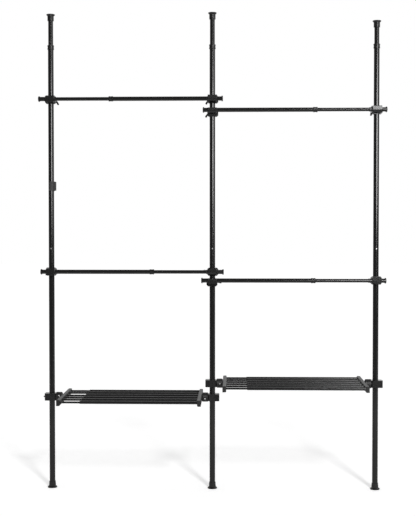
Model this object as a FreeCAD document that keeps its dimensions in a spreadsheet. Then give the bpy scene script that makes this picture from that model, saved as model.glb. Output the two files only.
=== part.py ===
"""Ceiling clothes rail: three floor-to-ceiling poles, four telescopic rails and two tube shelves.

Millimetres. The origin is the centre of the middle foot on the floor, X runs along the rails,
Y runs from the front to the back and Z is up.
"""
import FreeCAD, Part
import math
import os
import re
import Sketcher

# Driving dimensions

SIZES = [
    ("left_bay_width", 718, "middle pole axis to left pole axis"),
    ("right_bay_width", 724, "middle pole axis to right pole axis"),
    ("pole_diameter", 25, "lower and upper pole tubes"),
    ("tube_wall", 1, "wall of every pole and rail tube"),
    ("extension_diameter", 22, "tube that slides out of the pole"),
    ("extension_length", 700, "whole extension tube"),
    ("pole_height", 1970, "floor to the mouth of the upper tube"),
    ("joint_height", 1050, "floor to the seam between lower and upper tube"),
    ("spigot_length", 70, "drawn-in neck of the lower tube inside the upper one"),
    ("left_reach", 140, "mouth of the left pole to its ceiling face"),
    ("middle_reach", 144, "mouth of the middle pole to its ceiling face"),
    ("right_reach", 105, "mouth of the right pole to its ceiling face"),
    ("fit", 0.1, "gap where one piece is pushed over another"),
    ("slide_gap", 0.3, "gap where one piece slides or turns on another"),
    ("lock_length", 34, "twist lock below the extension tube"),
    ("lock_spigot", 20, "stem of the twist lock inside the extension tube"),
    ("foot_diameter", 43, "floor flange"),
    ("foot_edge", 4, "height of the flange's rim"),
    ("foot_shoulder", 9, "height where the flange meets the sleeve"),
    ("foot_height", 28.5, "floor to the top of the foot's sleeve"),
    ("foot_wall", 3, "wall of the foot's sleeve at its base"),
    ("foot_lip", 2, "wall of the foot's sleeve at its mouth"),
    ("foot_seat", 4, "floor to the end of the lower tube"),
    ("cap_diameter", 38, "ceiling flange"),
    ("cap_edge", 3, "height of the ceiling flange's rim"),
    ("cap_shoulder", 8, "ceiling face to the top of the cap's sleeve"),
    ("cap_height", 28.5, "ceiling face to the mouth of the cap"),
    ("cap_wall", 3.2, "wall of the cap's sleeve"),
    ("cap_seat", 4, "ceiling face to the end of the extension tube"),
    ("collar_wall", 2.2, "mouth collar's wall over the tube"),
    ("collar_length", 18.5, "whole mouth collar"),
    ("collar_lip", 3, "part of the mouth collar above the tube's end"),
    ("collar_band", 5, "raised band at each end of a mouth collar"),
    ("collar_waist", 0.7, "how far a mouth collar draws in between its bands"),
    ("button_diameter", 6.4, "snap button"),
    ("button_rise", 22, "seam to the snap button"),
    ("button_proud", 1.8, "snap button above the tube's skin"),
    ("button_dome", 1.2, "rounded part of the snap button"),
    ("button_flange", 9, "shoulder that keeps the button in the spigot"),
    ("spring_length", 36, "leaf that carries the button"),
    ("spring_thickness", 0.8, "leaf that carries the button"),
    ("spring_width", 6, "leaf that carries the button"),
    ("clip_level", 1349, "floor to the middle of the clip on the left pole"),
    ("clip_height", 42, "whole clip"),
    ("clip_wall", 3, "arms of the clip"),
    ("clip_band", 9, "arms left at the top and bottom of the clip"),
    ("clip_base", 8.5, "thick side of the clip beyond the pole"),
    ("clip_base_width", 17, "thick side of the clip"),
    ("clip_mouth", 9, "pole axis to the ends of the clip's arms"),
    ("rail_diameter", 19, "outer rail tube and its clamps' bore"),
    ("rail_inner_diameter", 16, "inner rail tube"),
    ("rail_outer_length", 495, "outer rail tube"),
    ("rail_inner_length", 490, "inner rail tube"),
    ("rail_setback", 26, "pole axis to rail axis"),
    ("top_left_drop", 237, "mouth of the pole to the rail's axis"),
    ("top_right_drop", 287, "mouth of the pole to the rail's axis"),
    ("mid_left_drop", 81, "seam of the pole to the rail's axis"),
    ("mid_right_drop", 119, "seam of the pole to the rail's axis"),
    ("top_left_outer_overhang", 41, "pole axis to the outer tube's end"),
    ("top_right_outer_overhang", 36, "pole axis to the outer tube's end"),
    ("mid_left_outer_overhang", 38, "pole axis to the outer tube's end"),
    ("mid_right_outer_overhang", 43, "pole axis to the outer tube's end"),
    ("top_left_inner_overhang", 45, "pole axis to the inner tube's end"),
    ("top_right_inner_overhang", 37, "pole axis to the inner tube's end"),
    ("mid_left_inner_overhang", 45, "pole axis to the inner tube's end"),
    ("mid_right_inner_overhang", 36, "pole axis to the inner tube's end"),
    ("plug_diameter", 25, "head of a rail's end plug"),
    ("plug_head", 6, "thickness of the plug's head"),
    ("plug_bevel", 2, "bevel round the plug's head"),
    ("plug_spigot", 16, "part of the plug inside the tube"),
    ("sleeve_length", 72, "sleeve that brings the inner tube up to the clamp's bore"),
    ("hook_side", 26, "pole axis to the hooked edge of a rail clamp"),
    ("screw_side", 22.5, "pole axis to the screw edge of a rail clamp"),
    ("clamp_height", 36, "rail clamp's plates"),
    ("clamp_corner", 6, "cut corners of the rail clamp's plates"),
    ("clamp_split", 1, "gap between the jaws"),
    ("front_plate", 14, "pole axis to the front of the front jaw's plate"),
    ("rear_plate", 9.5, "pole axis to the back of the rear jaw's plate"),
    ("barrel_length", 43, "socket round the rail"),
    ("barrel_wall", 6, "socket round the rail"),
    ("barrel_bevel", 3.5, "bevelled ends of the socket"),
    ("barrel_face", 17.5, "height of the flat on the front of the socket"),
    ("barrel_corner", 1.5, "cut corner at the end of that flat"),
    ("socket_lift", 9, "rail axis above the middle of a clamp with a raised socket"),
    ("jaw_wall", 4, "rear jaw behind the pole"),
    ("hook_width", 3.5, "hooked edge of the rear jaw"),
    ("hook_reach", 9, "hooked edge forward of the pole axis"),
    ("hook_height", 20, "hooked edge"),
    ("screw_diameter", 5, "wing screw's thread"),
    ("screw_offset", 18.5, "pole axis to wing screw axis"),
    ("screw_depth", 12, "wing screw's thread forward of the pole axis"),
    ("wing_start", 20, "pole axis to the wings"),
    ("wing_depth", 12, "wings along the screw"),
    ("wing_reach", 22, "screw axis to a wing's tip"),
    ("wing_thickness", 6, "wing at its root"),
    ("wing_tip", 8, "wing at its tip"),
    ("wing_bevel", 2, "cut corners of a wing's tip"),
    ("wing_hub", 9, "diameter of the wing screw's head"),
    ("left_shelf_level", 409, "floor to the shelf's tubes"),
    ("right_shelf_level", 471.5, "floor to the shelf's tubes"),
    ("shelf_depth", 330, "end bar, front to back"),
    ("shelf_tube_diameter", 13, "outer shelf tubes"),
    ("shelf_inner_diameter", 9, "inner shelf tubes"),
    ("shelf_outer_length", 508, "outer shelf tubes beyond the bar's face"),
    ("shelf_inner_length", 480, "inner shelf tubes beyond the bar's face"),
    ("shelf_pitch", 62, "shelf tube to shelf tube"),
    ("socket_depth", 9, "shelf tube inside the end bar"),
    ("bar_width", 16, "end bar"),
    ("bar_rise", 11, "top of the end bar above the tubes' axes"),
    ("bar_drop", 15, "bottom of the end bar below the tubes' axes"),
    ("bar_bevel", 3, "cut lower edge of the end bar"),
    ("bar_ease", 2, "eased top edges of the end bar"),
    ("bar_offset", 54.5, "pole axis to the end bar's middle"),
    ("hub_diameter", 41, "round hub between shelf clamp and end bar"),
    ("hub_bevel", 3, "bevel of the hub at the end bar"),
    ("stud_diameter", 16, "pivot stud on the shelf clamp"),
    ("stud_length", 18, "pivot stud on the shelf clamp"),
    ("holder_height", 32, "shelf clamp"),
    ("holder_depth", 39, "shelf clamp, front to back"),
    ("holder_inside", 20, "pole axis to the shelf clamp's face at the hub"),
    ("holder_outside", 31, "pole axis to the shelf clamp's outer face"),
    ("holder_corner", 5, "cut corners of the shelf clamp"),
    ("holder_recess", 2.5, "depth of the recess in the shelf clamp's front and back"),
    ("grub_diameter", 6, "set screw of the shelf clamp"),
    ("grub_length", 18, "set screw of the shelf clamp"),
    ("grub_key", 3, "hexagon socket of the set screw"),
    ("grub_loose", 7, "how far the set screw at the left pole is turned out"),
]
SHELF_TUBES = 6

doc = FreeCAD.newDocument("ceiling_clothes_rail")
sheet = doc.addObject("Spreadsheet::Sheet", "Sizes")
for row, (alias, number, note) in enumerate(SIZES, start=1):
    sheet.set("A%d" % row, alias)
    sheet.set("B%d" % row, str(number))
    sheet.set("C%d" % row, note)
    sheet.setAlias("B%d" % row, alias)
doc.recompute()


# Tools for sketches and features

def value(text):
    """The number that an expression in the sheet's own names stands for."""
    return float(sheet.evalExpression(text))


def cell(text):
    """The same expression as every other object of the document has to write it."""
    return re.sub(r"[a-z][a-z_]*", lambda name: "Sizes." + name.group(0), text)


def new_body(name):
    return doc.addObject("PartDesign::Body", name)


def sketch_on(body, plane, shift="0"):
    """A sketch on one of the body's own origin planes, moved along that plane's normal."""
    sketch = body.newObject("Sketcher::SketchObject", body.Name + "_outline")
    support = [part for part in body.Origin.OriginFeatures if part.Role == plane]
    sketch.AttachmentSupport = [(support[0], "")]
    sketch.MapMode = "FlatFace"
    sketch.setExpression("AttachmentOffset.Base.z", cell(shift))
    return sketch


def tie(sketch, kind, points, text):
    """One dimension of a sketch, bound to an expression."""
    index = sketch.addConstraint(Sketcher.Constraint(kind, *points, value(text)))
    sketch.setExpression("Constraints[%d]" % index, cell(text))


def polygon(sketch, corners):
    """A closed outline of straight lines through corners given as pairs of expressions."""
    spots = [FreeCAD.Vector(value(across), value(up), 0) for across, up in corners]
    first = sketch.GeometryCount
    for here, there in zip(spots, spots[1:] + spots[:1]):
        sketch.addGeometry(Part.LineSegment(here, there), False)
    count = len(spots)
    for step in range(count):
        after = first + (step + 1) % count
        sketch.addConstraint(Sketcher.Constraint("Coincident", first + step, 2, after, 1))
    for step, (across, up) in enumerate(corners):
        tie(sketch, "DistanceX", (-1, 1, first + step, 1), across)
        tie(sketch, "DistanceY", (-1, 1, first + step, 1), up)


def rectangle(sketch, left, low, right, high):
    polygon(sketch, [(left, low), (right, low), (right, high), (left, high)])


def circle(sketch, across, up, radius):
    centre = FreeCAD.Vector(value(across), value(up), 0)
    ring = Part.Circle(centre, FreeCAD.Vector(0, 0, 1), value(radius))
    index = sketch.addGeometry(ring, False)
    tie(sketch, "DistanceX", (-1, 1, index, 3), across)
    tie(sketch, "DistanceY", (-1, 1, index, 3), up)
    tie(sketch, "Radius", (index,), radius)


def pad(body, sketch, length, both_ways=False, backwards=False):
    feature = body.newObject("PartDesign::Pad", body.Name + "_pad")
    feature.Profile = sketch
    feature.setExpression("Length", cell(length))
    feature.SideType = "Symmetric" if both_ways else "One side"
    feature.Reversed = backwards
    return feature


def pocket(body, sketch, length, both_ways=False, backwards=False):
    """A cut that has to take something away, or the sketch faces the wrong way."""
    doc.recompute()
    before = body.Shape.Volume
    feature = body.newObject("PartDesign::Pocket", body.Name + "_pocket")
    feature.Profile = sketch
    feature.setExpression("Length", cell(length))
    feature.SideType = "Symmetric" if both_ways else "One side"
    feature.Reversed = backwards
    doc.recompute()
    if body.Shape.Volume > before - 0.01:
        raise RuntimeError(body.Name + ": a pocket cuts nothing")
    return feature


def turned(name, plane, axis, corners):
    """A turned piece: a closed outline spun about an axis of its sketch."""
    body = new_body(name)
    sketch = sketch_on(body, plane)
    polygon(sketch, corners)
    feature = body.newObject("PartDesign::Revolution", name + "_turn")
    feature.Profile = sketch
    feature.ReferenceAxis = (sketch, [axis])
    feature.Angle = 360
    return body


def edges_where(body, test):
    """The names of the body's edges that pass a test."""
    doc.recompute()
    return ["Edge%d" % (spot + 1) for spot, edge in enumerate(body.Shape.Edges) if test(edge)]


def bevelled(body, edges, width):
    base = body.Tip
    feature = body.newObject("PartDesign::Chamfer", body.Name + "_bevel")
    feature.Base = (base, edges)
    feature.setExpression("Size", cell(width))
    return feature


def tube(name, plane, diameter, length, wall="tube_wall"):
    """A straight tube from the origin along the normal of its plane."""
    body = new_body(name)
    section = sketch_on(body, plane)
    circle(section, "0", "0", "(%s) / 2" % diameter)
    circle(section, "0", "0", "(%s) / 2 - %s" % (diameter, wall))
    pad(body, section, length)
    return body


# Pole pieces, each drawn once with the pole's axis on Z

POLE = "pole_diameter / 2"
BORE = "(pole_diameter / 2 - tube_wall)"
NECK = "(pole_diameter / 2 - tube_wall - fit)"


def button_hole(body, floor_height):
    """A round hole through the front wall of a pole tube, for the snap button."""
    hole = sketch_on(body, "XZ_Plane")
    circle(hole, "0", floor_height, "button_diameter / 2 + slide_gap")
    pocket(body, hole, "pole_diameter", backwards=True)


def foot_piece():
    return turned("foot", "XZ_Plane", "V_Axis", [
        ("0", "0"),
        ("foot_diameter / 2 - foot_edge / 4", "0"),
        ("foot_diameter / 2", "foot_edge / 4"),
        ("foot_diameter / 2", "foot_edge"),
        ("pole_diameter / 2 + foot_wall", "foot_shoulder"),
        ("pole_diameter / 2 + foot_lip", "foot_height"),
        ("pole_diameter / 2 + fit", "foot_height"),
        ("pole_diameter / 2 + fit", "foot_seat"),
        ("0", "foot_seat")])


def lower_tube_piece():
    body = turned("lower_tube", "XZ_Plane", "V_Axis", [
        (POLE, "0"),
        (POLE, "joint_height - foot_seat"),
        (NECK, "joint_height - foot_seat"),
        (NECK, "joint_height - foot_seat + spigot_length"),
        (NECK + " - tube_wall", "joint_height - foot_seat + spigot_length"),
        (NECK + " - tube_wall", "joint_height - foot_seat - 3 * tube_wall"),
        (BORE, "joint_height - foot_seat - 6 * tube_wall"),
        (BORE, "0")])
    button_hole(body, "joint_height - foot_seat + button_rise")
    return body


def upper_tube_piece():
    body = tube("upper_tube", "XY_Plane", "pole_diameter", "pole_height - joint_height")
    button_hole(body, "button_rise")
    return body


def mouth_collar(name, plane, axis, outside, inside):
    """A plastic ring over a tube's mouth, drawn along X or Z, with a lip that guides the inner tube."""
    over = "(%s) / 2 + fit" % outside
    skin = "(%s) / 2 + collar_wall" % outside
    lip = "(%s) / 2 + slide_gap" % inside
    corners = [
        ("0", over),
        ("0", skin),
        ("collar_band", skin),
        ("collar_band + collar_waist", skin + " - collar_waist"),
        ("collar_length - collar_band - collar_waist", skin + " - collar_waist"),
        ("collar_length - collar_band", skin),
        ("collar_length", skin),
        ("collar_length", lip),
        ("collar_length - collar_lip", lip),
        ("collar_length - collar_lip", over)]
    if axis == "V_Axis":
        corners = [(radius, along) for along, radius in corners]
    return turned(name, plane, axis, corners)


def twist_lock_piece():
    """The expanding plug below the extension tube, which grips the pole's bore."""
    return turned("twist_lock", "XZ_Plane", "V_Axis", [
        ("0", "-lock_length"),
        ("extension_diameter / 2 - tube_wall", "-lock_length"),
        (BORE + " - slide_gap", "-lock_length + 3 * tube_wall"),
        (BORE + " - slide_gap", "-3 * tube_wall"),
        ("extension_diameter / 2", "0"),
        ("extension_diameter / 2 - tube_wall - fit", "0"),
        ("extension_diameter / 2 - tube_wall - fit", "lock_spigot"),
        ("0", "lock_spigot")])


def ceiling_cap_piece():
    """The cap hangs from its ceiling face at Z 0."""
    return turned("ceiling_cap", "XZ_Plane", "V_Axis", [
        ("0", "0"),
        ("cap_diameter / 2 - cap_edge / 3", "0"),
        ("cap_diameter / 2", "-cap_edge / 3"),
        ("cap_diameter / 2", "-cap_edge"),
        ("extension_diameter / 2 + cap_wall", "-cap_shoulder"),
        ("extension_diameter / 2 + cap_wall", "-cap_height"),
        ("extension_diameter / 2 + fit", "-cap_height"),
        ("extension_diameter / 2 + fit", "-cap_seat"),
        ("0", "-cap_seat")])


def snap_button_piece():
    """Button, shoulder and leaf in one, drawn with the button's axis on Z and the leaf along X."""
    body = turned("snap_button", "XZ_Plane", "V_Axis", [
        ("0", "pole_diameter / 2 + button_proud"),
        ("button_diameter / 2 - button_dome", "pole_diameter / 2 + button_proud"),
        ("button_diameter / 2", "pole_diameter / 2 + button_proud - button_dome"),
        ("button_diameter / 2", NECK + " - 3 * tube_wall"),
        ("button_flange / 2", NECK + " - 3 * tube_wall"),
        ("button_flange / 2", NECK + " - 4 * tube_wall"),
        ("0", NECK + " - 4 * tube_wall")])
    leaf = sketch_on(body, "XY_Plane", NECK + " - 4 * tube_wall")
    rectangle(leaf, "-button_flange / 2", "-spring_width / 2", "spring_length", "spring_width / 2")
    pad(body, leaf, "spring_thickness", backwards=True)
    return body


def pole_clip_piece():
    """A snap-on clip: two pairs of arms round the pole and a thick side towards the rails."""
    body = new_body("snap_clip")
    ring = sketch_on(body, "XY_Plane")
    circle(ring, "0", "0", POLE + " + slide_gap + clip_wall")
    pad(body, ring, "clip_height", both_ways=True)
    base = sketch_on(body, "XY_Plane")
    rectangle(base, "0", "-clip_base_width / 2", POLE + " + clip_base", "clip_base_width / 2")
    pad(body, base, "clip_height - clip_wall", both_ways=True)
    bore = sketch_on(body, "XY_Plane")
    circle(bore, "0", "0", POLE + " + slide_gap")
    pocket(body, bore, "2 * clip_height", both_ways=True)
    mouth = sketch_on(body, "XY_Plane")
    rectangle(mouth, "-pole_diameter", "-pole_diameter", "-clip_mouth", "pole_diameter")
    pocket(body, mouth, "2 * clip_height", both_ways=True)
    window = sketch_on(body, "XZ_Plane")
    rectangle(window, "-pole_diameter", "-clip_height / 2 + clip_band",
              "-clip_mouth + clip_wall", "clip_height / 2 - clip_band")
    pocket(body, window, "4 * pole_diameter", both_ways=True)
    return body


# Rail pieces, each drawn once with the rail's axis on X

def outer_plug_piece():
    """The plug of an outer rail tube: its head points to -X and its spigot fills the bore."""
    spigot = "rail_diameter / 2 - tube_wall - fit"
    return turned("outer_plug", "XY_Plane", "H_Axis", [
        ("-plug_head", "0"),
        ("-plug_head", "plug_diameter / 2 - plug_bevel"),
        ("-plug_head + plug_bevel", "plug_diameter / 2"),
        ("0", "plug_diameter / 2"),
        ("0", spigot),
        ("plug_spigot", spigot),
        ("plug_spigot", "0")])


def inner_plug_piece():
    """The plug of an inner rail tube, with the sleeve that fills a clamp's bore."""
    bore = "rail_inner_diameter / 2 + fit"
    return turned("inner_plug", "XY_Plane", "H_Axis", [
        ("-plug_head", "0"),
        ("-plug_head", "plug_diameter / 2 - plug_bevel"),
        ("-plug_head + plug_bevel", "plug_diameter / 2"),
        ("0", "plug_diameter / 2"),
        ("0", "rail_diameter / 2"),
        ("sleeve_length", "rail_diameter / 2"),
        ("sleeve_length", bore),
        ("0", bore),
        ("0", "0")])


# Rail clamp, drawn once: pole on Z, rail in front along X, screw on the +X side

def plate_outline(sketch, left, corner):
    """The clamp's face with its two screw-side corners cut, and the hook side cut by corner."""
    top = "clamp_height / 2"
    polygon(sketch, [
        (left + " + " + corner, "-" + top),
        ("screw_side - clamp_corner", "-" + top),
        ("screw_side", "-" + top + " + clamp_corner"),
        ("screw_side", top + " - clamp_corner"),
        ("screw_side - clamp_corner", top),
        (left + " + " + corner, top),
        (left, top + " - " + corner),
        (left, "-" + top + " + " + corner)])


def front_jaw_piece(name, lift=""):
    """Front jaw: a plate against the pole and a socket in front of it, flat-faced on its -Z half.

    A raised socket lies up or down by socket_lift, as the sign in lift says, and is cut off
    level with the plate, so the rail's skin shows in a slot there.
    """
    body = new_body(name)
    level = lift + "socket_lift" if lift else "0"
    skin = "(rail_diameter / 2 + barrel_wall)"
    barrel = sketch_on(body, "YZ_Plane")
    circle(barrel, "-rail_setback", level, skin)
    pad(body, barrel, "barrel_length", both_ways=True)
    ends = edges_where(body, lambda edge: isinstance(edge.Curve, Part.Circle))
    bevelled(body, ends, "barrel_bevel")
    flat = sketch_on(body, "YZ_Plane")
    front = "-rail_setback - " + skin
    low = level + " - " + skin
    polygon(flat, [
        ("-rail_setback", low),
        (front + " + barrel_corner", low),
        (front, low + " + barrel_corner"),
        (front, low + " + barrel_face"),
        ("-rail_setback", low + " + barrel_face")])
    pad(body, flat, "barrel_length - barrel_bevel", both_ways=True)
    plate = sketch_on(body, "XZ_Plane", "clamp_split / 2")
    plate_outline(plate, "-hook_side + hook_width + slide_gap", "clamp_corner / 2")
    pad(body, plate, "front_plate - clamp_split / 2")
    if lift:
        over = sketch_on(body, "XZ_Plane")
        rectangle(over, "-2 * hook_side", lift + "clamp_height / 2",
                  "2 * hook_side", lift + "2 * clamp_height")
        pocket(body, over, "4 * rail_setback", both_ways=True)
    rail_bore = sketch_on(body, "YZ_Plane")
    circle(rail_bore, "-rail_setback", level, "rail_diameter / 2 + fit")
    pocket(body, rail_bore, "2 * barrel_length", both_ways=True)
    pole_bore = sketch_on(body, "XY_Plane")
    circle(pole_bore, "0", "0", POLE + " + slide_gap")
    pocket(body, pole_bore, "2 * clamp_height", both_ways=True)
    thread = sketch_on(body, "XZ_Plane")
    circle(thread, "screw_offset", "0", "screw_diameter / 2 + fit")
    pocket(body, thread, "screw_depth + fit", backwards=True)
    return body


def rear_jaw_piece():
    """Rear jaw: a plate, a round back behind the pole and a hook over the front jaw's edge."""
    body = new_body("rear_jaw")
    back = sketch_on(body, "XY_Plane")
    circle(back, "0", "0", POLE + " + slide_gap + jaw_wall")
    pad(body, back, "clamp_height", both_ways=True)
    front_half = sketch_on(body, "XY_Plane")
    rectangle(front_half, "-2 * pole_diameter", "-2 * pole_diameter", "2 * pole_diameter", "clamp_split / 2")
    pocket(body, front_half, "2 * clamp_height", both_ways=True)
    plate = sketch_on(body, "XZ_Plane", "-clamp_split / 2")
    plate_outline(plate, "-hook_side", "clamp_corner")
    pad(body, plate, "rear_plate - clamp_split / 2", backwards=True)
    hook = sketch_on(body, "XY_Plane")
    rectangle(hook, "-hook_side", "-hook_reach", "-hook_side + hook_width", "rear_plate / 2")
    pad(body, hook, "hook_height", both_ways=True)
    pole_bore = sketch_on(body, "XY_Plane")
    circle(pole_bore, "0", "0", POLE + " + slide_gap")
    pocket(body, pole_bore, "2 * clamp_height", both_ways=True)
    screw_hole = sketch_on(body, "XZ_Plane")
    circle(screw_hole, "screw_offset", "0", "screw_diameter / 2 + fit")
    pocket(body, screw_hole, "2 * rear_plate")
    return body


def wing_screw_piece():
    """Hand screw on its own axis along Y, with two flat wings behind the rear jaw."""
    seat = "rear_plate + slide_gap"
    body = turned("wing_screw", "XY_Plane", "V_Axis", [
        ("0", "-screw_depth"),
        ("screw_diameter / 2", "-screw_depth"),
        ("screw_diameter / 2", seat),
        ("wing_hub / 2", seat),
        ("wing_hub / 2", "wing_start"),
        ("wing_thickness / 2", "wing_start + wing_depth / 2"),
        ("wing_thickness / 2", "wing_start + wing_depth"),
        ("0", "wing_start + wing_depth")])
    wings = sketch_on(body, "XZ_Plane", "-wing_start")
    root = "wing_thickness / 2"
    tip = "wing_tip / 2"
    polygon(wings, [
        ("-wing_reach", "-" + tip + " + wing_bevel"),
        ("-wing_reach + wing_bevel", "-" + tip),
        ("0", "-" + root),
        ("wing_reach - wing_bevel", "-" + tip),
        ("wing_reach", "-" + tip + " + wing_bevel"),
        ("wing_reach", tip + " - wing_bevel"),
        ("wing_reach - wing_bevel", tip),
        ("0", root),
        ("-wing_reach + wing_bevel", tip),
        ("-wing_reach", tip + " - wing_bevel")])
    pad(body, wings, "wing_depth", backwards=True)
    return body


# Shelf pieces, each drawn once with the shelf on the +X side

def tube_rows():
    """The tubes' places from front to back, as expressions."""
    return ["(%g) * shelf_pitch" % (step - (SHELF_TUBES - 1) / 2) for step in range(SHELF_TUBES)]


def end_bar_piece(name, tube_size):
    """End bar with a blind socket for each tube in its inner face."""
    body = new_body(name)
    section = sketch_on(body, "XZ_Plane")
    half = "bar_width / 2"
    polygon(section, [
        ("-" + half, "-bar_drop"),
        (half + " - bar_bevel", "-bar_drop"),
        (half, "-bar_drop + bar_bevel"),
        (half, "bar_rise"),
        ("-" + half, "bar_rise")])
    pad(body, section, "shelf_depth", both_ways=True)
    rise = value("bar_rise")
    top = edges_where(body, lambda edge: all(abs(spot.Z - rise) < 0.01 for spot in edge.Vertexes))
    bevelled(body, top, "bar_ease")
    sockets = sketch_on(body, "YZ_Plane", half)
    for row in tube_rows():
        circle(sockets, row, "0", "%s / 2 + fit" % tube_size)
    pocket(body, sockets, "socket_depth")
    return body


def shelf_tubes_piece(name, tube_size, length):
    """The tubes of half a shelf, from the bottoms of their sockets."""
    body = new_body(name)
    section = sketch_on(body, "YZ_Plane", "bar_width / 2 - socket_depth")
    for row in tube_rows():
        circle(section, row, "0", "%s / 2" % tube_size)
        circle(section, row, "0", "%s / 2 - tube_wall" % tube_size)
    pad(body, section, length + " + socket_depth")
    return body


def hub_piece():
    """Round hub on the bar's outer face, with a bore for the shelf clamp's stud."""
    near = "-bar_offset + holder_inside + slide_gap"
    far = "-bar_width / 2"
    return turned("hub", "XY_Plane", "H_Axis", [
        (near, "stud_diameter / 2 + slide_gap"),
        (near, "hub_diameter / 2"),
        (far + " - hub_bevel", "hub_diameter / 2"),
        (far, "hub_diameter / 2 - hub_bevel"),
        (far, "0"),
        (near + " + stud_length", "0"),
        (near + " + stud_length", "stud_diameter / 2 + slide_gap")])


def shelf_clamp_piece():
    """Shelf clamp: a block round the pole with a pivot stud towards the shelf."""
    body = new_body("shelf_clamp")
    block = sketch_on(body, "XY_Plane")
    side = "holder_depth / 2"
    polygon(block, [
        ("-holder_outside + holder_corner", "-" + side),
        ("holder_inside - holder_corner", "-" + side),
        ("holder_inside", "-" + side + " + holder_corner"),
        ("holder_inside", side + " - holder_corner"),
        ("holder_inside - holder_corner", side),
        ("-holder_outside + holder_corner", side),
        ("-holder_outside", side + " - holder_corner"),
        ("-holder_outside", "-" + side + " + holder_corner")])
    pad(body, block, "holder_height", both_ways=True)
    stud = sketch_on(body, "YZ_Plane", "holder_inside")
    circle(stud, "0", "0", "stud_diameter / 2")
    pad(body, stud, "stud_length")
    bore = sketch_on(body, "XY_Plane")
    circle(bore, "0", "0", POLE + " + slide_gap")
    pocket(body, bore, "2 * holder_height", both_ways=True)
    thread = sketch_on(body, "YZ_Plane", "-holder_outside")
    circle(thread, "0", "0", "grub_diameter / 2 + fit")
    pocket(body, thread, "holder_outside - pole_diameter / 2", backwards=True)
    for shift, from_back in ((side, False), ("-" + side, True)):
        recess = sketch_on(body, "XZ_Plane", shift)
        rectangle(recess, "-holder_outside + 1.4 * holder_corner", "-holder_height / 2 + holder_corner",
                  "-pole_diameter / 2 - holder_recess", "holder_height / 2 - holder_corner")
        pocket(body, recess, "holder_recess", backwards=from_back)
    return body


def set_screw_piece():
    """Set screw with its point at the origin and a hexagon socket in its -X end."""
    body = turned("set_screw", "XY_Plane", "H_Axis", [
        ("-grub_length", "0"),
        ("-grub_length", "grub_diameter / 2"),
        ("-grub_key / 2", "grub_diameter / 2"),
        ("0", "grub_diameter / 2 - grub_key / 2"),
        ("0", "0")])
    socket = sketch_on(body, "YZ_Plane", "-grub_length")
    corner = 2 / math.sqrt(3) / 2
    turns = [math.radians(60 * step) for step in range(6)]
    polygon(socket, [("%.6f * grub_key" % (corner * math.cos(turn)),
                      "%.6f * grub_key" % (corner * math.sin(turn))) for turn in turns])
    pocket(body, socket, "grub_key", backwards=True)
    return body


# Placing the pieces

sub_parts = []
Y_AXIS = FreeCAD.Vector(0, 1, 0)
Z_AXIS = FreeCAD.Vector(0, 0, 1)


def copy_of(piece, name, across="0", back="0", up="0", turn=None):
    """A copy of a piece at a place given by expressions, with an optional rotation."""
    link = doc.addObject("App::Link", name)
    link.Label = name
    link.LinkedObject = piece
    if turn:
        link.Placement = FreeCAD.Placement(FreeCAD.Vector(), turn)
    for direction, text in zip("xyz", (across, back, up)):
        link.setExpression("Placement.Base." + direction, cell(text))
    return link


def sub_part(name, *copies):
    """One named node: a single copy, or a group of copies that stay separate solids."""
    node = copies[0]
    if len(copies) > 1:
        node = doc.addObject("Part::Compound", name)
        node.Links = list(copies)
    node.Label = name
    sub_parts.append(node)


def turned_round(flipped, axis):
    return FreeCAD.Rotation(axis, 180) if flipped else None


POLES = {"left": "-left_bay_width", "middle": "0", "right": "right_bay_width"}
foot = foot_piece()
lower_tube = lower_tube_piece()
upper_tube = upper_tube_piece()
pole_collar = mouth_collar("pole_collar", "XZ_Plane", "V_Axis", "pole_diameter", "extension_diameter")
extension_tube = tube("extension_tube", "XY_Plane", "extension_diameter", "extension_length")
twist_lock = twist_lock_piece()
ceiling_cap = ceiling_cap_piece()
snap_button = snap_button_piece()
TO_FRONT = FreeCAD.Rotation(FreeCAD.Vector(0, 0, -1), FreeCAD.Vector(0, 1, 0), FreeCAD.Vector(0, -1, 0))

for side, axis in POLES.items():
    top = "pole_height + %s_reach" % side
    sub_part(side + "_foot", copy_of(foot, side + "_foot", axis))
    sub_part(side + "_lower_tube", copy_of(lower_tube, side + "_lower_tube", axis, up="foot_seat"))
    sub_part(side + "_upper_tube", copy_of(upper_tube, side + "_upper_tube", axis, up="joint_height"))
    sub_part(side + "_collar", copy_of(pole_collar, side + "_collar", axis,
                                       up="pole_height + collar_lip - collar_length"))
    tube_end = top + " - cap_seat - extension_length"
    sub_part(side + "_extension_tube",
             copy_of(extension_tube, side + "_extension", axis, up=tube_end),
             copy_of(twist_lock, side + "_twist_lock", axis, up=tube_end))
    sub_part(side + "_ceiling_cap", copy_of(ceiling_cap, side + "_ceiling_cap", axis, up=top))
    sub_part(side + "_snap_button", copy_of(snap_button, side + "_snap_button", axis,
                                            up="joint_height + button_rise", turn=TO_FRONT))
sub_part("pole_clip", copy_of(pole_clip_piece(), "pole_clip_copy", POLES["left"], up="clip_level"))

# For each rail: the pole that carries the outer tube, and the one that carries the inner tube
RAILS = {
    "top_left": ("middle", "left"),
    "top_right": ("middle", "right"),
    "mid_left": ("left", "middle"),
    "mid_right": ("middle", "right")}
# The top rails hang below the mouths of the poles, the middle ones below the seams
LEVELS = {rail: ("pole_height" if rail.startswith("top") else "joint_height") + " - %s_drop" % rail
          for rail in RAILS}
# For each clamp: whether its screw is on the -X side, and the wings' turn in degrees
CLAMPS = {
    ("top_left", "left"): (False, 62),
    ("top_left", "middle"): (True, 119),
    ("top_right", "middle"): (True, 124),
    ("top_right", "right"): (True, 97),
    ("mid_left", "left"): (False, 4),
    ("mid_left", "middle"): (True, 12),
    ("mid_right", "middle"): (False, 8),
    ("mid_right", "right"): (True, 0)}
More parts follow.
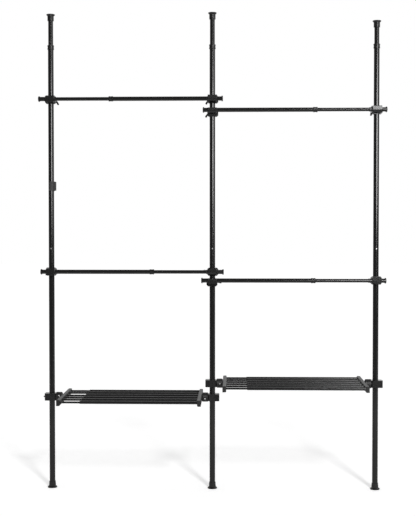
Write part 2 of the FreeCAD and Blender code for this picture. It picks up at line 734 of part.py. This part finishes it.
# The lower clamp of each pair on the middle pole has a raised socket, so that the rails lie close together
RAISED = (("top_right", "middle"), ("mid_right", "middle"))
outer_tube = tube("rail_outer_tube", "YZ_Plane", "rail_diameter", "rail_outer_length")
inner_tube = tube("rail_inner_tube", "YZ_Plane", "rail_inner_diameter", "rail_inner_length")
rail_collar = mouth_collar("rail_collar", "XY_Plane", "H_Axis", "rail_diameter", "rail_inner_diameter")
outer_plug = outer_plug_piece()
inner_plug = inner_plug_piece()
front_jaw = front_jaw_piece("front_jaw")
raised_jaws = {False: front_jaw_piece("raised_jaw", "+"), True: front_jaw_piece("flipped_raised_jaw", "-")}
rear_jaw = rear_jaw_piece()
wing_screw = wing_screw_piece()

for rail, (outer_pole, inner_pole) in RAILS.items():
    level = LEVELS[rail]
    # The rail's pieces run from their end plug towards the other pole
    outer_first = list(POLES).index(outer_pole) < list(POLES).index(inner_pole)
    way = "+" if outer_first else "-"
    other_way = "-" if outer_first else "+"
    outer_turn = turned_round(not outer_first, Z_AXIS)
    inner_turn = turned_round(outer_first, Z_AXIS)
    outer_end = "%s %s %s_outer_overhang" % (POLES[outer_pole], other_way, rail)
    inner_end = "%s %s %s_inner_overhang" % (POLES[inner_pole], way, rail)
    mouth = "%s %s (rail_outer_length + collar_lip - collar_length)" % (outer_end, way)
    sub_part(rail + "_rail_outer_tube",
             copy_of(outer_tube, rail + "_outer", outer_end, "-rail_setback", level, outer_turn),
             copy_of(rail_collar, rail + "_collar", mouth, "-rail_setback", level, outer_turn),
             copy_of(outer_plug, rail + "_outer_plug", outer_end, "-rail_setback", level, outer_turn))
    sub_part(rail + "_rail_inner_tube",
             copy_of(inner_tube, rail + "_inner", inner_end, "-rail_setback", level, inner_turn),
             copy_of(inner_plug, rail + "_inner_plug", inner_end, "-rail_setback", level, inner_turn))

for (rail, side), (flipped, wing_turn) in CLAMPS.items():
    axis = POLES[side]
    raised = (rail, side) in RAISED
    level = LEVELS[rail] + (" - socket_lift" if raised else "")
    jaw = raised_jaws[flipped] if raised else front_jaw
    name = "%s_rail_%s_pole" % (rail, side)
    half_turn = turned_round(flipped, Y_AXIS)
    sub_part(name + "_clamp",
             copy_of(jaw, name + "_front_jaw", axis, "0", level, half_turn),
             copy_of(rear_jaw, name + "_rear_jaw", axis, "0", level, half_turn))
    screw_axis = "%s %s screw_offset" % (axis, "-" if flipped else "+")
    sub_part(name + "_wing_screw", copy_of(wing_screw, name + "_screw", screw_axis, "0", level,
                                           FreeCAD.Rotation(Y_AXIS, wing_turn)))

SHELVES = {"left": ("left", "middle"), "right": ("middle", "right")}
# The set screw at the left pole isn't tightened
LOOSE = "left_shelf_inner"
inner_bar = end_bar_piece("inner_bar", "shelf_inner_diameter")
outer_bar = end_bar_piece("outer_bar", "shelf_tube_diameter")
inner_tubes = shelf_tubes_piece("inner_tubes", "shelf_inner_diameter", "shelf_inner_length")
outer_tubes = shelf_tubes_piece("outer_tubes", "shelf_tube_diameter", "shelf_outer_length")
hub = hub_piece()
shelf_clamp = shelf_clamp_piece()
set_screw = set_screw_piece()

for shelf, (first_pole, last_pole) in SHELVES.items():
    level = shelf + "_shelf_level"
    ends = {"inner": (POLES[first_pole], " + ", " - ", inner_bar, inner_tubes, None),
            "outer": (POLES[last_pole], " - ", " + ", outer_bar, outer_tubes, turned_round(True, Z_AXIS))}
    for end, (axis, way, outwards, bar, tubes, turn) in ends.items():
        name = "%s_shelf_%s" % (shelf, end)
        place = axis + way + "bar_offset"
        point = axis + outwards + "(pole_diameter / 2 + slide_gap)"
        if name == LOOSE:
            point += outwards + "grub_loose"
        sub_part(name + "_end_bar",
                 copy_of(bar, name + "_bar", place, "0", level, turn),
                 copy_of(hub, name + "_hub", place, "0", level, turn))
        sub_part(name + "_tubes", copy_of(tubes, name + "_tubes_copy", place, "0", level, turn))
        sub_part(name + "_clamp",
                 copy_of(shelf_clamp, name + "_clamp_block", axis, "0", level, turn),
                 copy_of(set_screw, name + "_set_screw", point, "0", level, turn))

# Checking and writing

doc.recompute()
failed = [item.Name for item in doc.Objects if {"Invalid", "Error"} & set(item.State)]
if failed:
    raise RuntimeError("failed objects: " + ", ".join(failed))
os.makedirs("parts", exist_ok=True)
shapes = {node.Label: Part.getShape(node) for node in sub_parts}
for name, shape in shapes.items():
    if shape.isNull() or not shape.isValid() or not shape.Solids:
        raise RuntimeError("bad shape: " + name)
for name, shape in shapes.items():
    shape.exportStep(os.path.join("parts", name + ".step"))
print(len(shapes), "sub-parts,", sum(len(shape.Solids) for shape in shapes.values()), "solids")
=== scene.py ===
import math
import bpy
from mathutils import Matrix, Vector


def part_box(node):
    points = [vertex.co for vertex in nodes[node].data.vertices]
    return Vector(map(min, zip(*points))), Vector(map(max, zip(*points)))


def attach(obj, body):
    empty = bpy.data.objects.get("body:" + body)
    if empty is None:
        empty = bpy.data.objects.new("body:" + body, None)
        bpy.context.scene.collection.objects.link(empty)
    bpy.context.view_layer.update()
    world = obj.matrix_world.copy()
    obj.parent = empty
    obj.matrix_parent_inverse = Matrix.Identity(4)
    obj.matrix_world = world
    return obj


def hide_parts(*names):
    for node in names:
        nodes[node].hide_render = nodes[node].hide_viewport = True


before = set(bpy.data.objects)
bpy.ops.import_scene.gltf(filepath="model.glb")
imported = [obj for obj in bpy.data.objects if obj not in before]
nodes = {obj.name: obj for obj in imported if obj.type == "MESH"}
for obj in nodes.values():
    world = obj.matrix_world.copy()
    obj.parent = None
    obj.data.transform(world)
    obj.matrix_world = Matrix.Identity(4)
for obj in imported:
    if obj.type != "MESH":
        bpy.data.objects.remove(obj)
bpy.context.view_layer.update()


# Pole tubes
# Each pole is two lengths of steel tube pushed together, powder coated black in an oven.
# The baked powder leaves a satin skin with a faint orange-peel ripple and slight cloudiness.

class Value:
    """A node's socket that takes part in Python arithmetic: each operator adds a Math node."""

    def __init__(self, work, socket):
        self.work = work
        self.socket = socket

    def maths(self, operation, first, second):
        return self.work.node("ShaderNodeMath", {"operation": operation}, {0: first, 1: second})

    def __add__(self, other):
        return self.maths("ADD", self, other)

    def __radd__(self, other):
        return self.maths("ADD", other, self)

    def __sub__(self, other):
        return self.maths("SUBTRACT", self, other)

    def __rsub__(self, other):
        return self.maths("SUBTRACT", other, self)

    def __mul__(self, other):
        return self.maths("MULTIPLY", self, other)

    def __rmul__(self, other):
        return self.maths("MULTIPLY", other, self)

    def __gt__(self, other):
        return self.maths("GREATER_THAN", self, other)


class NodeWork:
    """A node tree under construction, with one method that makes any node."""

    def __init__(self, tree):
        self.tree = tree

    def node(self, kind, settings=None, inputs=None, output=0):
        made = self.tree.nodes.new(kind)
        for name, setting in (settings or {}).items():
            setattr(made, name, setting)
        for name, source in (inputs or {}).items():
            self.feed(made.inputs[name], source)
        return Value(self, made.outputs[output])

    def feed(self, socket, source):
        """Links a value to a socket, or sets a plain number or colour on it."""
        if isinstance(source, Value):
            self.tree.links.new(source.socket, socket)
        else:
            socket.default_value = source


class Finish(NodeWork):
    """The node tree of a material or of the world."""

    def __init__(self, owner):
        owner.use_nodes = True
        super().__init__(owner.node_tree)
        self.owner = owner

    def between(self, first, second, share):
        """A colour that goes from the first to the second as share goes from 0 to 1."""
        return self.node("ShaderNodeMix", {"data_type": "RGBA"}, {0: share, 6: first, 7: second}, 2)

    def noise(self, place, scale, detail):
        return self.node("ShaderNodeTexNoise", None, {"Vector": place, "Scale": scale, "Detail": detail})

    def principled(self, **inputs):
        """Sets the shader's sockets; a name's underscores stand for spaces."""
        shader = self.tree.nodes["Principled BSDF"]
        for name, source in inputs.items():
            self.feed(shader.inputs[name.replace("_", " ")], source)
        return self.owner


def new_finish(name):
    """A new material, and the place on the piece that its patterns read."""
    finish = Finish(bpy.data.materials.new(name))
    return finish, finish.node("ShaderNodeTexCoord", output="Object")


def grey(level):
    return (level, level, level, 1.0)


CLOUD_SCALE = 14.0
PEEL_SCALE = 620.0
SPECK_SCALE = 2600.0
COAT_DARK = grey(0.006)
COAT_PALE = grey(0.012)
COAT_ROUGHNESS = 0.13


def coat_skin(finish, place):
    """Colour, roughness and relief of the powder coat."""
    cloud = finish.noise(place, CLOUD_SCALE, detail=3.0)
    peel = finish.noise(place, PEEL_SCALE, detail=2.0)
    speck = finish.noise(place, SPECK_SCALE, detail=1.0)
    colour = finish.between(COAT_DARK, COAT_PALE, 0.6 * cloud + 0.4 * speck)
    roughness = COAT_ROUGHNESS + 0.05 * cloud + 0.02 * peel
    relief = peel + 0.3 * speck
    return colour, roughness, relief


MM = 0.001
GRAIN_DEPTH = 0.02 * MM
BLACK_SHINE = 0.45


def black_finish(finish, colour, roughness, relief):
    """Sets the shader of a black finish, with its relief as fine grain."""
    skin = finish.node("ShaderNodeBump", None, {"Distance": GRAIN_DEPTH, "Height": relief})
    return finish.principled(
        Base_Color=colour,
        Roughness=roughness,
        Specular_IOR_Level=BLACK_SHINE,
        Normal=skin)


def powder_coat():
    finish, place = new_finish("satin_black_powder_coat")
    return black_finish(finish, *coat_skin(finish, place))


def clad(finish, *names):
    """Gives CAD nodes their finish."""
    for name in names:
        for slot in nodes[name].material_slots:
            slot.material = finish


POLES = ("left", "middle", "right")
coat = powder_coat()
for pole in POLES:
    clad(coat, pole + "_lower_tube", pole + "_upper_tube", pole + "_extension_tube")


# Feet, mouth collars and ceiling caps
# Injection-moulded black plastic, pushed over the tubes' ends.
# The mould's fine spark grain gives a duller, softer sheen than the coated steel.

FLOW_SCALE = 30.0
GRAIN_SCALE = 1500.0
PLASTIC_DARK = 0.008
PLASTIC_PALE = 0.016


def plastic_skin(finish, place, dullness, tone=1.0):
    """Colour, roughness and relief of the moulded plastic, paler as tone goes up."""
    flow = finish.noise(place, FLOW_SCALE, detail=3.0)
    grain = finish.node("ShaderNodeTexVoronoi", None, {"Vector": place, "Scale": GRAIN_SCALE})
    colour = finish.between(grey(PLASTIC_DARK * tone), grey(PLASTIC_PALE * tone), 0.5 * flow + 0.5 * grain)
    roughness = dullness + 0.06 * flow
    return colour, roughness, grain


def moulded_plastic(name, *skin):
    finish, place = new_finish(name)
    return black_finish(finish, *plastic_skin(finish, place, *skin))


SATIN = 0.20
plastic = moulded_plastic("satin_black_plastic", SATIN)
for pole in POLES:
    clad(plastic, pole + "_foot", pole + "_collar", pole + "_ceiling_cap")


# Snap buttons
# A zinc-plated steel button on a leaf spring stands out of a hole in front of each pole.
# It locks the upper tube to the lower one, and its dome is polished by handling.

STAIN_SCALE = 260.0
SCRATCH_SCALE = 4200.0
SCRATCH_DEPTH = 0.004 * MM
ZINC_DULL = grey(0.55)
ZINC_BRIGHT = grey(0.78)


def zinc_plate():
    finish, place = new_finish("bright_zinc_plate")
    stain = finish.noise(place, STAIN_SCALE, detail=4.0)
    scratch = finish.noise(place, SCRATCH_SCALE, detail=1.0)
    skin = finish.node("ShaderNodeBump", None, {"Distance": SCRATCH_DEPTH, "Height": scratch})
    return finish.principled(
        Base_Color=finish.between(ZINC_DULL, ZINC_BRIGHT, stain),
        Metallic=1.0,
        Roughness=0.24 + 0.16 * stain,
        Normal=skin)


zinc = zinc_plate()
clad(zinc, *[pole + "_snap_button" for pole in POLES])


# Clip on the left pole
# A one-piece plastic clip that snaps round the pole and stays where it is pushed.
# It is moulded in a softer plastic with a dry skin, a shade paler than the rest.

DRY = 0.60
PALER = 2.8
clad(moulded_plastic("dry_black_plastic", DRY, PALER), "pole_clip")


# Hanging rails
# A thinner coated tube slides in a thicker one, with a plastic collar at the mouth
# and a plastic plug pushed into each end, so whatever stands proud of a tube is plastic.

RAILS = ("top_left", "top_right", "mid_left", "mid_right")
RAIL_RADII = {"outer": 9.5 * MM, "inner": 8 * MM}
STEP = 0.3 * MM


def rail_finish(name, axis_y, axis_z, tube_radius):
    """Powder coat up to the tube's radius from the rail's axis, and moulded plastic beyond it."""
    finish, place = new_finish(name)
    back = finish.node("ShaderNodeSeparateXYZ", None, {0: place}, "Y") - axis_y
    up = finish.node("ShaderNodeSeparateXYZ", None, {0: place}, "Z") - axis_z
    proud = back * back + up * up > (tube_radius + STEP) ** 2
    coat_colour, coat_rough, coat_relief = coat_skin(finish, place)
    plain_colour, plain_rough, plain_relief = plastic_skin(finish, place, SATIN)
    return black_finish(
        finish,
        finish.between(coat_colour, plain_colour, proud),
        coat_rough + (plain_rough - coat_rough) * proud,
        coat_relief + (plain_relief - coat_relief) * proud)


for rail in RAILS:
    for half, radius in RAIL_RADII.items():
        piece = "%s_rail_%s_tube" % (rail, half)
        low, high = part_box(piece)
        axis_y = (low[1] + high[1]) / 2
        axis_z = (low[2] + high[2]) / 2
        clad(rail_finish(piece + "_finish", axis_y, axis_z, radius), piece)


# Rail clamps and wing screws
# Each clamp is two plastic jaws hooked together round the pole, with a socket for the rail.
# A plastic-headed wing screw behind the rear jaw pulls the jaws tight.

for name in nodes:
    if name.endswith(("_pole_clamp", "_wing_screw")):
        clad(plastic, name)


# Shelves
# Six thin coated tubes slide in six thicker ones, their ends pressed into plastic bars.
# The bars' hubs turn on studs of the clamps, so a shelf can be tilted.

DULL = 0.44
dull_plastic = moulded_plastic("dull_black_plastic", DULL)
for shelf in ("left", "right"):
    for half in ("inner", "outer"):
        clad(coat, "%s_shelf_%s_tubes" % (shelf, half))
        clad(dull_plastic, "%s_shelf_%s_end_bar" % (shelf, half))
        clad(plastic, "%s_shelf_%s_clamp" % (shelf, half))


# Thin tubes of the left shelf
# Coated tubes of half the shelf, each with a millimetre of play in the thick tube it slides in.
# They settle high or low in that play, so that some of the gaps between them close and others open.

SHELF_TUBES = 6
THIN_RADIUS = 4.5 * MM
# How far each tube lies above the middle of its play, from the front of the shelf to the back
LIE = (-0.3 * MM, 0.7 * MM, -0.1 * MM, -0.9 * MM, 0.8 * MM, 0.0)

low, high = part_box("left_shelf_inner_tubes")
front_row = low[1] + THIN_RADIUS
thin_pitch = (high[1] - THIN_RADIUS - front_row) / (SHELF_TUBES - 1)
settled_mesh = nodes["left_shelf_inner_tubes"].data.copy()
for corner in settled_mesh.vertices:
    corner.co.z += LIE[round((corner.co.y - front_row) / thin_pitch)]
settled_tubes = bpy.data.objects.new("left_shelf_settled_tubes", settled_mesh)
bpy.context.scene.collection.objects.link(settled_tubes)
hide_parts("left_shelf_inner_tubes")
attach(settled_tubes, "left_shelf_far_rack")


# Stop beads of the shelf tubes
# Near its mouth each outer tube is rolled down on a stop that keeps the thin tube in.
# The roll leaves a narrow raised bead round the tube under the same powder coat.

class Shape(NodeWork):
    """A Geometry Nodes tree with named inputs, made into a plain mesh piece."""

    def __init__(self, name, **inputs):
        super().__init__(bpy.data.node_groups.new(name, "GeometryNodeTree"))
        self.tree.interface.new_socket("Geometry", in_out="OUTPUT", socket_type="NodeSocketGeometry")
        kinds = {float: "NodeSocketFloat", int: "NodeSocketInt", tuple: "NodeSocketVector"}
        self.sockets = {}
        for label, start in inputs.items():
            socket = self.tree.interface.new_socket(label, in_out="INPUT", socket_type=kinds[type(start)])
            socket.default_value = start
            self.sockets[label] = socket.identifier
        self.entry = self.tree.nodes.new("NodeGroupInput")

    def given(self, label):
        return Value(self, self.entry.outputs[label])

    def vector(self, across=0.0, back=0.0, up=0.0):
        return self.node("ShaderNodeCombineXYZ", None, {0: across, 1: back, 2: up})

    def end(self, geometry, material):
        """Closes the tree with plain geometry in one material."""
        solid = self.node("GeometryNodeRealizeInstances", None, {0: geometry})
        dressed = self.node("GeometryNodeSetMaterial", None, {0: solid, "Material": material})
        out = self.tree.nodes.new("NodeGroupOutput")
        self.feed(out.inputs[0], dressed)

    def piece(self, name, body, slot, **values):
        """Evaluates the tree with these values and makes its result ride on a body."""
        made = bpy.data.objects.new(name, bpy.data.meshes.new(name))
        bpy.context.scene.collection.objects.link(made)
        modifier = made.modifiers.new(name, "NODES")
        modifier.node_group = self.tree
        for label, number in values.items():
            modifier[self.sockets[label]] = number
        view = bpy.context.evaluated_depsgraph_get()
        mesh = bpy.data.meshes.new_from_object(made.evaluated_get(view))
        made.modifiers.clear()
        made.data = mesh
        mesh.name = name
        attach(made, body)


BEAD_SETBACK = 44 * MM
BEAD_RISE = 0.6 * MM
THICK_RADIUS = 6.5 * MM
THICK_PITCH = 62 * MM
RING_SIDES = 40
ROLL_SIDES = 8
ORIGIN = (0.0, 0.0, 0.0)
QUARTER = math.pi / 2

beads = Shape("stop_beads", Count=SHELF_TUBES, Radius=THICK_RADIUS, Roll=BEAD_RISE,
              First=ORIGIN, Pitch=THICK_PITCH)
row = beads.node("GeometryNodeMeshLine", None, {
    "Count": beads.given("Count"),
    "Start Location": beads.given("First"),
    "Offset": beads.vector(back=beads.given("Pitch"))})
ring = beads.node("GeometryNodeCurvePrimitiveCircle", None,
                  {"Resolution": RING_SIDES, "Radius": beads.given("Radius")})
roll = beads.node("GeometryNodeCurvePrimitiveCircle", None,
                  {"Resolution": ROLL_SIDES, "Radius": beads.given("Roll")})
bead = beads.node("GeometryNodeCurveToMesh", None, {"Curve": ring, "Profile Curve": roll})
bead_row = beads.node("GeometryNodeInstanceOnPoints", None,
                      {"Points": row, "Instance": bead, "Rotation": (0.0, QUARTER, 0.0)})
beads.end(bead_row, coat)

for shelf, body in (("left", "left_shelf_near_rack"), ("right", "right_shelf_far_rack")):
    low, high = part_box(shelf + "_shelf_outer_tubes")
    radius = (high[2] - low[2]) / 2
    pitch = (high[1] - low[1] - 2 * radius) / (SHELF_TUBES - 1)
    first = (low[0] + BEAD_SETBACK, low[1] + radius, low[2] + radius)
    beads.piece(shelf + "_shelf_stop_beads", body, "coated_steel", Radius=radius, Pitch=pitch, First=first)


# Hub screws
# A zinc-plated cross-head screw in the side of each hub keeps the hub on its stud.
# The hubs were put on at different turns, so the screws face different ways.

HUB_RADIUS = 20.5 * MM
HUB_PLACE = 33 * MM
HEAD = 7 * MM
HEAD_RISE = 1.6 * MM
HEAD_SEGMENTS = 28
HEAD_RINGS = 14
SLOT_WIDTH = 1.1 * MM
# The cross slot's length as a share of the head, and its bars' middle as a share of the rise
SLOT_LENGTH = 0.56
SLOT_LEVEL = 1.05

screw = Shape("hub_screw", Head=HEAD, Rise=HEAD_RISE, Cross=SLOT_WIDTH, Place=ORIGIN, Turn=ORIGIN)
head = screw.given("Head")
rise = screw.given("Rise")
cross = screw.given("Cross")
ball = screw.node("GeometryNodeMeshUVSphere", None,
                  {"Segments": HEAD_SEGMENTS, "Rings": HEAD_RINGS, "Radius": 1.0})
dome = screw.node("GeometryNodeTransform", None,
                  {"Geometry": ball, "Scale": screw.vector(head * 0.5, head * 0.5, rise)})
cut = screw.node("GeometryNodeMeshBoolean", {"operation": "DIFFERENCE"}, {"Mesh 1": dome})
for size in (screw.vector(head * SLOT_LENGTH, cross, rise), screw.vector(cross, head * SLOT_LENGTH, rise)):
    bar = screw.node("GeometryNodeMeshCube", None, {"Size": size})
    raised_bar = screw.node("GeometryNodeTransform", None,
                            {"Geometry": bar, "Translation": screw.vector(up=rise * SLOT_LEVEL)})
    screw.feed(cut.socket.node.inputs["Mesh 2"], raised_bar)
seated = screw.node("GeometryNodeTransform", None, {
    "Geometry": cut,
    "Translation": screw.given("Place"),
    "Rotation": screw.given("Turn")})
screw.end(seated, zinc)

# For each rack: the pole that carries it, the way from there to the shelf,
# and the degrees by which the screw sits above the front of the hub
HUB_SCREWS = {
    "left_shelf_far_rack": ("left", 1, 22),
    "left_shelf_near_rack": ("middle", -1, -16),
    "right_shelf_near_rack": ("middle", 1, 2),
    "right_shelf_far_rack": ("right", -1, 196)}
for rack, (pole, way, degrees) in HUB_SCREWS.items():
    low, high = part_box(pole + "_lower_tube")
    shelf = rack.split("_")[0]
    shelf_low, shelf_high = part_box(shelf + "_shelf_outer_tubes")
    level = (shelf_low[2] + shelf_high[2]) / 2
    swing = math.radians(degrees)
    place = ((low[0] + high[0]) / 2 + way * HUB_PLACE,
             -HUB_RADIUS * math.cos(swing),
             level + HUB_RADIUS * math.sin(swing))
    screw.piece(rack + "_hub_screw", rack, "zinc_steel", Place=place, Turn=(QUARTER - swing, 0.0, 0.0))


# Studio
# A white floor that runs into a white surround. A round lamp high to the right of the camera throws
# the shadows. Two soft boxes only shine: one draws the streak down the poles, one the line along the rails.

KEY_PLACE = Vector((2.17, -6.5, 4.8))
KEY_POWER = 1450.0
PAPER = 0.8
AMBIENT = 0.4
FLOOR_WHITE = 1.04


def white_floor():
    """Paper whose own glow, for the camera alone, makes up for what the lamps leave short of white."""
    finish, place = new_finish("white_studio_floor")
    seen = finish.node("ShaderNodeLightPath", output="Is Camera Ray")
    away = finish.node("ShaderNodeVectorMath", {"operation": "DISTANCE"}, {0: place, 1: KEY_PLACE}, "Value")
    # The lamp's light falls off with the square of its distance, and once more as it comes in flatter
    falloff = finish.node("ShaderNodeMath", {"operation": "POWER"}, {0: away, 1: -3.0})
    key_light = falloff * (PAPER * KEY_POWER * KEY_PLACE.z / (4 * math.pi ** 2))
    paper = finish.node("ShaderNodeBsdfDiffuse", None, {"Color": grey(PAPER)})
    glow = finish.node("ShaderNodeEmission", None, {
        "Color": grey(1.0),
        "Strength": (FLOOR_WHITE - PAPER * AMBIENT - key_light) * seen})
    both = finish.node("ShaderNodeAddShader", None, {0: paper, 1: glow})
    finish.feed(finish.tree.nodes["Material Output"].inputs["Surface"], both)
    return finish.owner


FLOOR_REACH = 30.0
FLOOR_FRONT = -2.4
FLOOR_DROP = 0.2 * MM

floor_mesh = bpy.data.meshes.new("studio_floor")
corners = [(-FLOOR_REACH, FLOOR_FRONT, 0), (FLOOR_REACH, FLOOR_FRONT, 0),
           (FLOOR_REACH, FLOOR_REACH, 0), (-FLOOR_REACH, FLOOR_REACH, 0)]
floor_mesh.from_pydata(corners, [], [(0, 1, 2, 3)])
floor = bpy.data.objects.new("studio_floor", floor_mesh)
floor.location.z = -FLOOR_DROP
bpy.context.scene.collection.objects.link(floor)
floor_mesh.materials.append(white_floor())

world = bpy.data.worlds.new("white_surround")
bpy.context.scene.world = world
surround = Finish(world)
camera_ray = surround.node("ShaderNodeLightPath", output="Is Camera Ray")
glossy_ray = surround.node("ShaderNodeLightPath", output="Is Glossy Ray")
through_ray = surround.node("ShaderNodeLightPath", output="Is Transmission Ray")
direction = surround.node("ShaderNodeTexCoord", output="Generated")


def towards(axis, start, end):
    """Rises from 0 to 1 as the direction's share along an axis goes from start to end."""
    share = surround.node("ShaderNodeSeparateXYZ", None, {0: direction}, axis)
    return surround.node("ShaderNodeMapRange", {"interpolation_type": "SMOOTHSTEP"},
                         {"Value": share, "From Min": start, "From Max": end})


# The surround that shines on the black: white behind and to the right, and dim in front
FRONT = 0.12
behind = towards("Y", start=0.1, end=0.9)
right_wall = towards("X", start=0.25, end=0.7) * towards("Z", start=0.03, end=0.15)
bright = surround.node("ShaderNodeMath", {"operation": "MAXIMUM"}, {0: behind, 1: right_wall})
shown = camera_ray + through_ray + glossy_ray * (FRONT + (1.0 - FRONT) * bright)
unseen = 1.0 - (camera_ray + through_ray + glossy_ray)
backdrop = surround.tree.nodes["Background"]
surround.feed(backdrop.inputs["Color"], grey(1.0))
surround.feed(backdrop.inputs["Strength"], shown + AMBIENT * unseen)


def lamp(kind, name, place, target, **settings):
    """A lamp at a place, turned to a target, that the camera doesn't see."""
    data = bpy.data.lights.new(name, kind)
    for key, setting in settings.items():
        setattr(data, key, setting)
    holder = bpy.data.objects.new(name, data)
    holder.location = place
    holder.rotation_euler = (Vector(target) - Vector(place)).to_track_quat("-Z", "Y").to_euler()
    holder.visible_camera = False
    bpy.context.scene.collection.objects.link(holder)
    return holder


KEY_TARGET = (0, 0, 1)
SIDE_PLACE = (2.5, -4.4, 1.97)
SIDE_TARGET = (1.15, 0, 1.75)

key_lamp = lamp("POINT", "key_lamp", KEY_PLACE, KEY_TARGET, energy=KEY_POWER, shadow_soft_size=0.5)
key_lamp.visible_glossy = False
side_box = lamp("AREA", "side_box", SIDE_PLACE, SIDE_TARGET, energy=32, shape="ELLIPSE",
                size=3.2, size_y=1.5, spread=math.radians(70))
high_box = lamp("AREA", "high_box", KEY_PLACE, KEY_TARGET, energy=166, shape="RECTANGLE",
                size=2.0, size_y=1.2)
for box in (side_box, high_box):
    box.visible_diffuse = False


# Camera
# The photograph's viewpoint: in front of the middle pole at chest height, turned a little
# to the left and down, with a lens long enough to keep the poles nearly parallel.

IMAGE_LONG_SIDE = 516
FOCAL_PIXELS = 1007.5
SENSOR = 36.0
VIEWPOINT = Vector((0.0954, -4.4775, 1.1502))
TURN = math.radians(-1.47)
PITCH = math.radians(-1.54)

camera_data = bpy.data.cameras.new("front_view")
camera_data.sensor_width = SENSOR
camera_data.lens = FOCAL_PIXELS * SENSOR / IMAGE_LONG_SIDE
camera = bpy.data.objects.new("front_view", camera_data)
camera.location = VIEWPOINT
ahead = Vector((math.sin(TURN) * math.cos(PITCH), math.cos(TURN) * math.cos(PITCH), math.sin(PITCH)))
camera.rotation_euler = ahead.to_track_quat("-Z", "Y").to_euler()
bpy.context.scene.collection.objects.link(camera)
bpy.context.scene.camera = camera
bpy.context.scene.view_settings.view_transform = "Standard"
